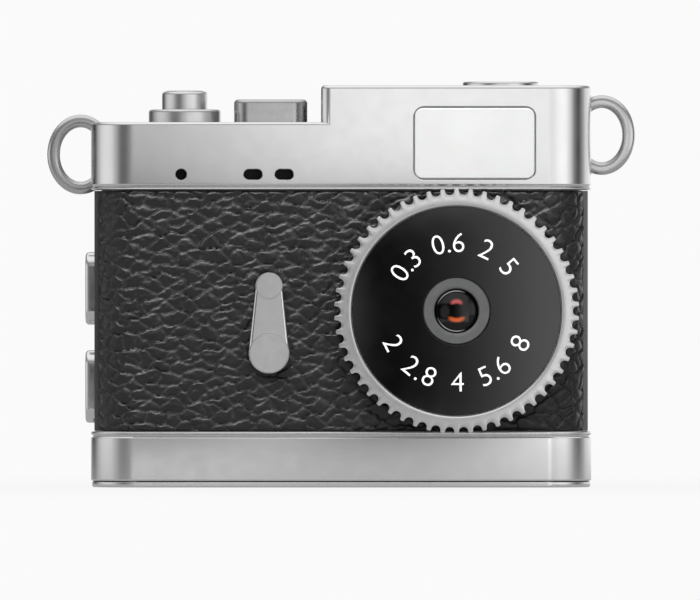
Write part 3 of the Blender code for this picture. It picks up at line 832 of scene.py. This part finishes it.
def wrap_path(node, side, along):
    """Places and outward directions at distances along a leather panel's plan, from its left end."""
    low, high = span(node)
    reach_x = high.x
    reach_y = max(abs(low.y), abs(high.y))
    end_y = min(abs(low.y), abs(high.y))
    straight = reach_y - LEATHER_CORNER - end_y
    arc = math.pi / 2 * LEATHER_CORNER
    flat = 2 * (reach_x - LEATHER_CORNER)
    half = straight + arc + flat / 2
    from_middle = along - half
    away = np.abs(from_middle)
    sign = np.sign(from_middle)
    turn = np.clip((away - flat / 2) / LEATHER_CORNER, 0, math.pi / 2)
    down = np.clip(away - flat / 2 - arc, 0, None)
    x = np.minimum(away, flat / 2) + LEATHER_CORNER * np.sin(turn)
    y = reach_y - LEATHER_CORNER * (1 - np.cos(turn)) - down
    return sign * x, side * y, sign * np.sin(turn), side * np.cos(turn), 2 * half


def leather_panel(node, side, step, seed):
    low, high = span(node)
    length = wrap_path(node, side, np.zeros(1))[4]
    columns = round(length / step)
    rows = round((high.z - low.z) / step)
    along, up = np.meshgrid(np.linspace(0, length, columns + 1), np.linspace(low.z, high.z, rows + 1))
    depth, crease = grain_depth(along, up, seed)
    rim = np.minimum(np.minimum(along, length - along), np.minimum(up - low.z, high.z - up))
    pressed = 0.14 * np.clip(1 - rim / 0.35, 0, 1) ** 2
    depth = np.minimum(depth + pressed, DEEPEST)
    x, y, out_x, out_y, _ = wrap_path(node, side, along)
    grid = np.stack([x - depth * out_x, y - depth * out_y, up], axis=-1).reshape(-1, 3)
    edge_x, edge_y, out_x, out_y, _ = wrap_path(node, side, np.linspace(0, length, columns + 1))
    width = columns + 1
    inner_x = edge_x - LEATHER_THICK * out_x
    inner_y = edge_y - LEATHER_THICK * out_y
    back = [np.stack([inner_x, inner_y, np.full(width, z)], axis=-1) for z in (low.z, high.z)]
    points = np.concatenate([grid, *back])
    faces = []
    for row in range(rows):
        start = row * width
        for column in range(columns):
            corner = start + column
            faces.append((corner, corner + 1, corner + 1 + width, corner + width))
    bottom = (rows + 1) * width
    top = bottom + width
    last = rows * width
    for column in range(columns):
        faces.append((bottom + column, bottom + column + 1, column + 1, column))
        faces.append((last + column, last + column + 1, top + column + 1, top + column))
        faces.append((top + column, top + column + 1, bottom + column + 1, bottom + column))
    for column in (0, columns):
        side_points = [row * width + column for row in range(rows + 1)]
        loop = side_points + [top + column, bottom + column]
        faces.append(tuple(loop if column else loop[::-1]))
    data = bpy.data.meshes.new(node)
    data.from_pydata(points.tolist(), [], faces)
    # The crease share is kept on the mesh, where the leatherette uses it to paint shade into the creases.
    shade = np.concatenate([crease.reshape(-1), np.zeros(2 * width)]).astype(np.float32)
    data.attributes.new("crease", "FLOAT", "POINT").data.foreach_set("value", shade)
    data.update()
    return in_scene(node, data)


def leather():
    front = leather_panel("front_leatherette", -1, GRAIN_STEP, 11)
    holes = (disc(8.62, from_front("toothed_ring"), 96), disc(0.85, from_front("lever_pivot_cap"), 32))
    tools = [block("Y", hole, [(-8, 0), (-6, 0)]) for hole in holes]
    piece(carve(front, *tools), "front_leatherette", sharp=80)
    back = leather_panel("back_leatherette", 1, GRAIN_STEP * 1.15, 47)
    tool = block("Y", disc(0.7, from_front("status_lamp"), 48), [(6, 0), (8, 0)])
    piece(carve(back, tool), "back_leatherette", sharp=80)


# ---------------------------------------------------------------- lens and focus ring

TEETH = 54
VALLEY = 0.42
VALLEY_SINK = 0.17
DIAL_DOME = 0.06
DIAL_RADIUS = 9.35
DIAL_HOLE = 3.05


def gear_outline(tip, valley_centre, valley):
    """Round valleys between blunt teeth, as points about the lens axis. A tooth stands at the top."""
    pitch = math.tau / TEETH
    half_mouth = math.asin(min(1.0, valley / valley_centre))
    steps = 8
    points = []
    for tooth in range(TEETH):
        middle_angle = math.pi / 2 + pitch * tooth
        flat = pitch / 2 - half_mouth * 1.02
        for turn, drop in ((-0.92, 0.05), (-0.6, 0.0), (0.6, 0.0), (0.92, 0.05)):
            angle = middle_angle + flat * turn
            points.append(((tip - drop) * math.cos(angle), (tip - drop) * math.sin(angle)))
        gap = middle_angle + pitch / 2
        out = Vector((math.cos(gap), math.sin(gap)))
        side = Vector((-math.sin(gap), math.cos(gap)))
        for step in range(steps + 1):
            angle = math.pi * step / steps
            place = out * (valley_centre - valley * math.sin(angle)) - side * (valley * math.cos(angle))
            points.append((place.x, place.y))
    return points


def toothed_ring():
    low, high = span("toothed_ring")
    centre = middle("toothed_ring")
    tip = size("toothed_ring").z / 2

    def teeth(inset):
        points = gear_outline(tip - inset, tip - VALLEY_SINK - inset * 0.25, VALLEY + inset * 0.2)
        return [(centre.x + u, centre.z + v) for u, v in points]

    def circle(radius):
        points = []
        for u, v in gear_outline(tip, tip - VALLEY_SINK, VALLEY):
            scale = radius / math.hypot(u, v)
            points.append((centre.x + u * scale, centre.z + v * scale))
        return points

    front = low.y
    levels = [(teeth(0.1), high.y), (teeth(0), high.y - 0.1)]
    levels += [(teeth(inset), w) for w, inset in reversed(fillet(front + 0.05, 0, 0.07, -1, 3))]
    levels += [(circle(10.2), front + 0.01), (circle(9.9), front), (circle(9.6), front)]
    levels += [(circle(9.52), front + 0.02), (circle(9.45), front + 0.09), (circle(9.4), front + 0.2)]
    levels += [(circle(9.4), -9.5), (circle(8.6), -9.5), (circle(8.6), high.y)]
    rings = [[at("Y", u, v, w) for u, v in points] for points, w in levels]
    piece(solid(rings, closed=True), "toothed_ring", finish=turned_plate())


def dial_sag(radius):
    """How far the slightly domed dial falls back at a distance from its centre."""
    return DIAL_DOME * (radius / DIAL_RADIUS) ** 2


def dial_face():
    low, high = span("dial_face")
    outer = size("dial_face").x / 2
    profile = [(DIAL_HOLE, high.y), (DIAL_HOLE, low.y + dial_sag(DIAL_HOLE) + 0.05)]
    first = 3.1
    rings = 14
    for ring in range(rings + 1):
        radius = first + (outer - 0.05 - first) * ring / rings
        profile.append((radius, low.y + dial_sag(radius)))
    profile += [(outer, low.y + dial_sag(outer) + 0.06), (outer, high.y)]
    piece(turned("Y", from_front("dial_face"), profile, 128), "dial_face")


def numeral(text, height):
    """One character as a thin mesh in the XZ plane, facing the front, with its left foot at 0."""
    curve = bpy.data.curves.new("numeral", "FONT")
    curve.body = text
    curve.size = height / 0.72
    curve.offset = -0.028
    curve.extrude = 0.012
    curve.resolution_u = 4
    ob = in_scene("numeral", curve)
    seen = bpy.context.evaluated_depsgraph_get()
    data = bpy.data.meshes.new_from_object(ob.evaluated_get(seen))
    bpy.data.objects.remove(ob)
    data.transform(Matrix.Rotation(math.pi / 2, 4, "X"))
    xs = [v.co.x for v in data.vertices]
    left = min(xs)
    data.transform(Matrix.Translation((-left, 0, 0)))
    return data, max(xs) - left


def scale_numerals(name, words, radius, first, last, height, upward):
    """Words spread along an arc of the dial. Their tops point away from the centre, or towards it."""
    gap = height * 0.16
    centre = middle("dial_face")
    front = span("dial_face")[0].y
    lettered = [[numeral(letter, height) for letter in word] for word in words]
    used = sum(sum(width for _, width in word) + gap * (len(word) - 1) for word in lettered)
    space = (abs(math.radians(last - first)) * radius - used) / (len(words) - 1)
    turn = -1 if upward else 1
    mesh = bmesh.new()
    along = 0.0
    for word in lettered:
        for data, width in word:
            angle = math.radians(first) + turn * (along + width / 2) / radius
            lean = angle + turn * math.pi / 2
            base = radius + turn * height / 2
            data.transform(Matrix.Translation((-width / 2, 0, 0)))
            data.transform(Matrix.Rotation(lean, 4, Vector((0, -1, 0))))
            data.transform(Matrix.Translation((base * math.cos(angle), 0, base * math.sin(angle))))
            for vertex in data.vertices:
                vertex.co.y += front + dial_sag(math.hypot(vertex.co.x, vertex.co.z)) - 0.008
            data.transform(Matrix.Translation((centre.x, 0, centre.z)))
            mesh.from_mesh(data)
            bpy.data.meshes.remove(data)
            along += width + gap
        along += space - gap
    piece(made_object(name, mesh), "dial_face", finish=NUMERALS, name=name, sharp=60)


def dial_scale():
    scale_numerals("distance_numerals", ("0.3", "0.6", "2", "5"), 6.2, 151, 36, 1.85, True)
    scale_numerals("aperture_numerals", ("2", "2.8", "4", "5.6", "8"), 6.3, 202, 338, 1.85, False)


def lens_barrel():
    low, high = span("lens_barrel")
    outer = size("lens_barrel").x / 2
    front = low.y
    profile = [
        (2.06, front + 0.03), (2.0, front + 0.12), (1.98, front + 0.5), (2.35, front + 0.5),
        (2.35, high.y), (outer, high.y), (outer, front + 0.12), (outer - 0.1, front),
        (2.3, front), (2.18, front),
    ]
    piece(turned("Y", from_front("lens_barrel"), profile), "lens_barrel")


def paint_lens_reflections():
    """Paints reflections into the front glass as dim glowing arcs where its coatings would reflect the
    lights: red above, orange below, and grey glint lines by the rim.
    """
    made = GLASS
    centre = middle("front_lens_element") * MM
    rim = 1.8
    black = grey(0.0)

    def spot(up, width, height):
        place = (centre.x, 0, centre.z + up * MM)
        scale = (1 / (width * MM), 0, 1 / (height * MM))
        reach = made.vector("LENGTH", made.from_place(place, scale))
        return made.between(reach, 1.0, 0.0, 0.55, 1.0)

    # Each crescent is a painted reflection: a spot with a bite taken out of it.
    def arc(up, width, height, bite_up):
        whole = spot(up, width, height)
        bite = spot(up + bite_up, width * 0.95, height * 0.9)
        return made.maths("SUBTRACT", whole, bite, clamp=True)

    def painted_rim_glint(side):
        """A painted glint: a thin arc near the rim of the glass, on its left. side is 1 for above and -1
        for below.
        """
        scale = 1 / (rim * MM)
        place = made.from_place(centre, (scale, 0, scale))
        off = made.maths("ABSOLUTE", made.maths("SUBTRACT", made.vector("LENGTH", place), 1.0))
        line = made.between(off, 1.0, 0.0, 0.015, 0.035)
        parts = made.split(place)
        rise = made.between(parts["Z"], 0.0, 1.0, 0.3 * side, 0.75 * side)
        left = made.between(parts["X"], 1.0, 0.0, 0.1, 0.45)
        return made.maths("MULTIPLY", made.maths("MULTIPLY", rise, left), line)

    painted_rim_glints = made.tint(made.maths("MAXIMUM", painted_rim_glint(1), painted_rim_glint(-1)), black, grey(0.5))
    painted_red_reflection = made.tint(arc(0.72, 0.62, 0.42, -0.32), black, (0.75, 0.12, 0.12))
    painted_orange_reflection = made.tint(arc(-0.62, 0.85, 0.45, 0.3), black, (0.95, 0.17, 0.04))
    # The arcs glow by emission. They are painted reflections and painted glint lines, not light that the
    # glass gives off.
    made.set("Emission Color", made.vector("ADD", made.vector("ADD", painted_red_reflection, painted_orange_reflection), painted_rim_glints))
    made.set("Emission Strength", 0.6)


def lens_glass():
    low, high = span("front_lens_element")
    rim = size("front_lens_element").x / 2
    steps = 14
    levels = []
    for step in range(steps + 1):
        share = step / steps
        reach = rim * (0.06 + 0.94 * share)
        sag = 0.42 * (reach / rim) ** 2
        levels.append((low.y + sag * 0.9, rim - reach))
    levels += [(-8.9, 0), (-8.8, 0.3), (high.y, 1.2)]
    outline = disc(rim, from_front("front_lens_element"), 72)
    piece(block("Y", outline, levels), "front_lens_element", finish=GLASS.material)
    # Painted reflections go onto the glass.
    paint_lens_reflections()


# ---------------------------------------------------------------- timer lever


def lever_outline(inset=0.0):
    """Two round ends of unequal size joined by straight tapered sides."""
    pivot = middle("lever_pivot_cap")
    tip = middle("lever_tip_cap")
    big = size("timer_lever").x / 2
    small = span("timer_lever")[1].z - tip.z
    lean = math.asin((big - small) / (tip.z - pivot.z))
    bends = (
        (tip.z, small - inset, lean, math.pi - lean),
        (pivot.z, big - inset, math.pi - lean, math.tau + lean),
    )
    steps = 32
    points = []
    for z, radius, first, last in bends:
        for step in range(steps + 1):
            angle = first + (last - first) * step / steps
            points.append((pivot.x + radius * math.cos(angle), z + radius * math.sin(angle)))
    return points


def timer_lever():
    low, high = span("timer_lever")
    levels = [(high.y, 0.06), (high.y - 0.06, 0)]
    levels += fillet(low.y, 0, 0.28, -1, 6)[::-1]
    lever = block("Y", lever_outline, levels)
    tools = [block("Y", disc(0.8, from_front("lever_pivot_cap"), 48), [(-9, 0), (-6, 0)])]
    caps = ("lever_pivot_cap", "lever_tip_cap")
    for cap in caps:
        seat = disc(size(cap).x / 2 + 0.07, from_front(cap))
        tools.append(block("Y", seat, [(low.y - 1, 0), (low.y + 0.3, 0)]))
    piece(carve(lever, *tools), "timer_lever")
    for cap in caps:
        low, high = span(cap)
        levels = fillet(low.y, 0, 0.03, -1, 2) + [(high.y, 0)]
        piece(block("Y", disc(size(cap).x / 2, from_front(cap)), levels), cap)


# ---------------------------------------------------------------- nodes that stay as they are


# The microphone and the lamps take recess_black, painted shade for their holes and slots, in place of
# their own finishes.
SPECIAL = {node: FINISHES["recess_black"] for node in (
    "microphone", "indicator_lamp_left", "indicator_lamp_right",
)}
# The frame is silver plating like the covers, darkened here: painted shade for its narrow side bands.
SPECIAL["body_frame"] = plate("frame_plate", 0.14, 0.36)


def finish_kept_nodes():
    for node, ob in frame["nodes"].items():
        if ob.hide_render:
            continue
        finish = SPECIAL.get(node) or FINISHES[SLOT_OF[node]]
        if not ob.material_slots:
            ob.data.materials.append(finish)
        for slot in ob.material_slots:
            slot.material = finish


# ---------------------------------------------------------------- stage, light and camera

# The light on the horizon by direction, in degrees to the right of the object's front.
AROUND = (
    (-180, 1.1), (-160, 0.5), (-142, 0.0), (-127, 0.08), (-111, 0.62), (-98, 1.0), (-82, 1.1),
    (-66, 1.05), (-52, 0.6), (-38, 0.16), (-26, 0.13), (-16, 0.28), (-6, 0.6), (4, 0.7), (15, 1.2),
    (36, 1.5), (50, 1.5), (62, 1.0), (77, 0.22), (91, 0.04), (107, 0.4), (121, 0.98), (140, 1.15),
    (160, 1.2), (180, 1.1),
)
# The light by the sine of the height above the horizon.
OVERHEAD = ((0.25, 0.3), (0.5, 0.35), (0.7, 1.2), (1.0, 1.3))
BACKDROP = (0.955, 0.955, 0.955, 1)
FLOOR_REACH = 170.0
CARD_HALF = 28.0
CARD_LOW = -4.0
CARD_HIGH = 46.0
CARD_PLACE = -60.0
# The card's light from left to right, above its blend and below it.
CARD_UPPER = ((0.0, 0.7), (0.2, 0.74), (0.38, 1.1), (0.55, 1.4), (0.8, 1.35), (1.0, 1.25))
CARD_LOWER = ((0.0, 1.35), (0.25, 1.4), (0.5, 0.97), (0.7, 1.02), (0.9, 1.45), (1.0, 2.3))
CARD_BLEND = (6.0, 20.0)
BAND_HEIGHT = 15.3
BAND_HALVES = (10.0, 12.8)
RIGHT_RISE = (2.0, 19.7)
RIGHT_POWER = 2.2
PATCH_LIGHT = 0.62
PATCH_REACH = (5.0, 8.5)
LENS = 802.4
CAMERA_AWAY = 1400.0
CAMERA_RIGHT = 0.8
CAMERA_DOWN = 1.42


def studio():
    """Light by direction: soft boxes and dark flags stand round the object, out of view."""
    world = bpy.data.worlds.new("studio")
    bpy.context.scene.world = world
    world.use_nodes = True
    world.node_tree.nodes.clear()
    sky = Nodes(world.node_tree)
    way = sky.split(sky.node("TexCoord").outputs["Generated"])
    azimuth = sky.maths("ARCTAN2", way["X"], sky.maths("MULTIPLY", way["Y"], -1.0))
    share = sky.between(azimuth, 0.0, 1.0, -math.pi, math.pi)
    around = sky.ramp(share, [((degrees + 180) / 360, shade) for degrees, shade in AROUND], "EASE")
    over = sky.ramp(way["Z"], OVERHEAD, "EASE")
    raised = sky.between(way["Z"], 0.0, 1.0, 0.12, 0.32, "SMOOTHSTEP")
    light = sky.node("Background", inputs={"Color": sky.mix(raised, around, over), "Strength": 1.0})
    seen = sky.node("Background", inputs={"Color": BACKDROP, "Strength": 1.0})
    sky.node("OutputWorld", inputs={"Surface": sky.for_camera(light.outputs[0], seen.outputs[0])})


def floor():
    """A pale round floor that fades into the backdrop and takes a soft shadow near the object."""
    rings = 12
    mesh = bmesh.new()
    rows = []
    for ring in range(1, rings + 1):
        outline = disc(FLOOR_REACH * ring / rings, (0, 0), 96)()
        rows.append([mesh.verts.new((u, v, 0)) for u, v in outline])
    mesh.faces.new(rows[0])
    for low, high in zip(rows, rows[1:]):
        bridge(mesh, low, high)
    ob = made_object("floor", mesh)
    ob.data.transform(Matrix.Scale(MM, 4))
    ob.location.z = -0.00002
    made = Finish("floor", grey(0.85), 0.9, sockets={"Specular IOR Level": 0.1})
    near = made.between(made.vector("LENGTH", made.place), 0.1, 0.0, 0.035, 0.1)
    camera_side = made.mix_shader(near, made.emission(BACKDROP), made.shader.outputs[0])
    dim = made.emission((*grey(0.52), 1))
    made.surface(made.for_camera(dim, camera_side))
    ob.data.materials.append(made.material)


def key_light():
    """Light from the upper left for the leather, the window, the barrel and the numerals.

    The polished metal is left to the studio, because this light would flare on its rims.
    """
    place = Vector((-30, -170, 160))
    target = Vector((-5, 0, 18))
    data = bpy.data.lights.new("key_light", "AREA")
    data.shape = "RECTANGLE"
    data.size = 170 * MM
    data.size_y = 150 * MM
    data.energy = 0.75
    ob = in_scene("key_light", data)
    ob.location = place * MM
    ob.rotation_euler = (target - place).to_track_quat("-Z", "Y").to_euler()
    ob.visible_camera = False
    receivers = bpy.data.collections.new("key_receivers")
    for name in (
        "detailed_front_leatherette", "detailed_back_leatherette", "detailed_light_window",
        "detailed_lens_barrel", "distance_numerals", "aperture_numerals",
    ):
        receivers.objects.link(bpy.data.objects[name])
    ob.light_linking.receiver_collection = receivers


def front_card():
    """A card before the object's front that only reflections see.

    A dark band crosses it at the height of the leather and the dial, broken by a light patch before
    the lever and by the right-hand end.
    """
    mesh = bmesh.new()
    corners = (
        (-CARD_HALF, CARD_LOW), (CARD_HALF, CARD_LOW), (CARD_HALF, CARD_HIGH), (-CARD_HALF, CARD_HIGH),
    )
    mesh.faces.new([mesh.verts.new((x, CARD_PLACE, z)) for x, z in corners])
    ob = made_object("front_card", mesh)
    ob.data.transform(Matrix.Scale(MM, 4))
    made = Finish("front_card", (0, 0, 0), 1.0)
    parts = made.split(made.place)

    def rise(value, limits):
        """Goes from 0 to 1 as a length in the scene goes between two limits in mm."""
        start, end = limits
        return made.between(value, 0.0, 1.0, start * MM, end * MM)

    across = rise(parts["X"], (-CARD_HALF, CARD_HALF))
    upper = made.ramp(across, CARD_UPPER)
    lower = made.ramp(across, CARD_LOWER)
    colour = made.mix(rise(parts["Z"], CARD_BLEND), lower, upper)
    from_band = made.maths("ABSOLUTE", made.maths("SUBTRACT", parts["Z"], BAND_HEIGHT * MM))
    outside = rise(from_band, BAND_HALVES)
    right = made.maths("POWER", rise(parts["X"], RIGHT_RISE), RIGHT_POWER)
    lever = Vector((middle("timer_lever").x, CARD_PLACE, middle("timer_lever").z)) * MM
    reach = made.vector("LENGTH", made.from_place(lever, (1, 0, 0.7)))
    patch = made.between(reach, PATCH_LIGHT, 0.0, *(limit * MM for limit in PATCH_REACH))
    lit = made.maths("MAXIMUM", made.maths("MAXIMUM", right, patch), outside)
    made.surface(made.emission(colour, lit))
    ob.data.materials.append(made.material)
    ob.visible_camera = False
    ob.visible_diffuse = False
    ob.visible_shadow = False
    ob.visible_transmission = False


def camera():
    low, high = (Vector(corner) / MM for corner in CAD_BOX)
    data = bpy.data.cameras.new("camera")
    data.lens = LENS
    data.sensor_width = 36.0
    data.clip_start = 0.1
    ob = in_scene("camera", data)
    x = (low.x + high.x) / 2 + CAMERA_RIGHT
    z = (low.z + high.z) / 2 - CAMERA_DOWN
    ob.location = Vector((x, -COVER_FACE - CAMERA_AWAY, z)) * MM
    ob.rotation_euler = (math.pi / 2, 0, 0)
    bpy.context.scene.camera = ob


base_plate()
base_screws()
bottom_cover()
top_cover()
light_window()
strap_loops()
top_buttons()
side_buttons()
leather()
toothed_ring()
dial_face()
dial_scale()
lens_barrel()
lens_glass()
timer_lever()
finish_kept_nodes()
studio()
floor()
key_light()
front_card()
camera()
bpy.context.scene.view_settings.view_transform = "Standard"
